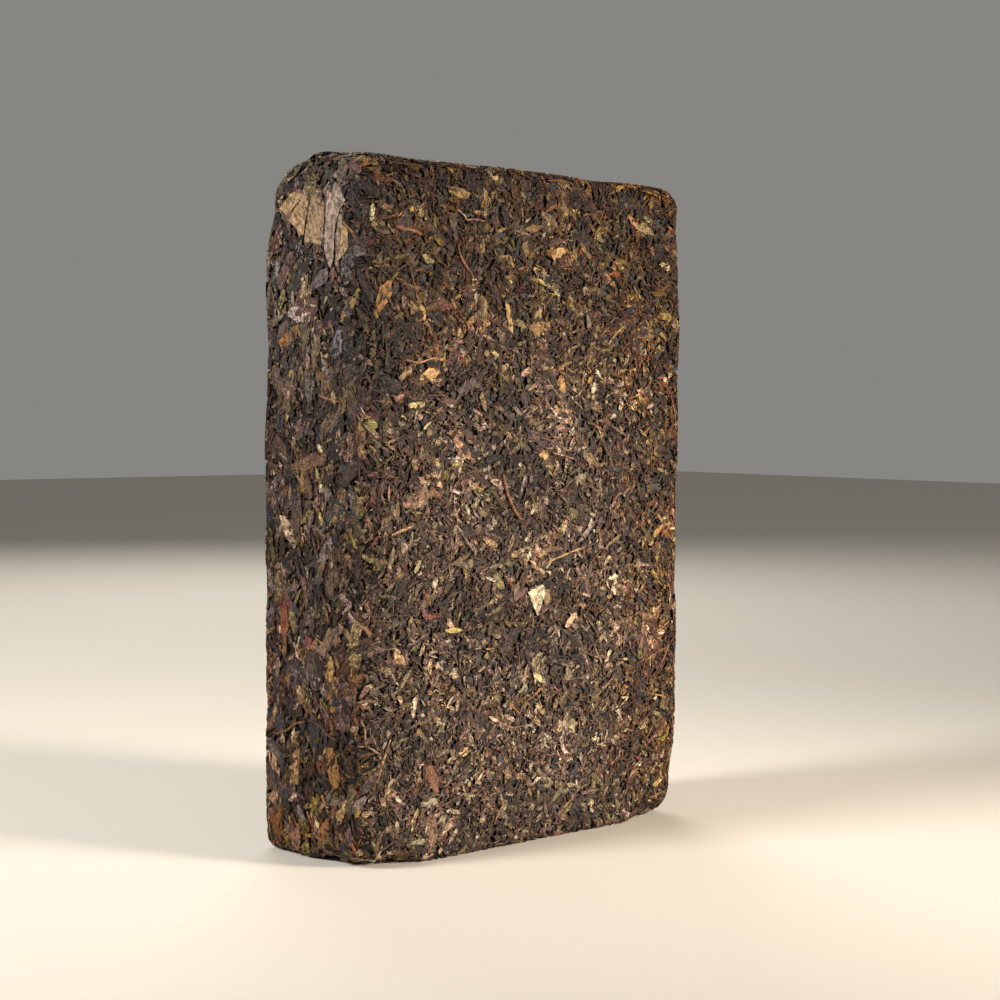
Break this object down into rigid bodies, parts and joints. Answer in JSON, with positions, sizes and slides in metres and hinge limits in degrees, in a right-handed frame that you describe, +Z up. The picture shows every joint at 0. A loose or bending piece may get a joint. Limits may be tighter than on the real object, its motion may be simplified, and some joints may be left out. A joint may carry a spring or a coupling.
{
  "type": "compressed dark tea brick",
  "caption": "Hand-pressed brick of compressed dark tea, standing on its short end, with broken leaf and stems in its surface.",
  "frame": {"origin": "centre of the bounding box in plan, on the plane the brick stands on", "axes": "+Z up along the brick's length, +X along its width, +Y along its thickness, away from the broad face with the finer leaf"},
  "size_m": [0.1502, 0.0552, 0.2287],
  "materials": {
    "pressed_leaf": "dry, nearly matt pressed tea leaf with broken stems"
  },
  "bodies": {
    "root": {"tea_brick": "pressed_leaf"}
  },
  "joints": []
}
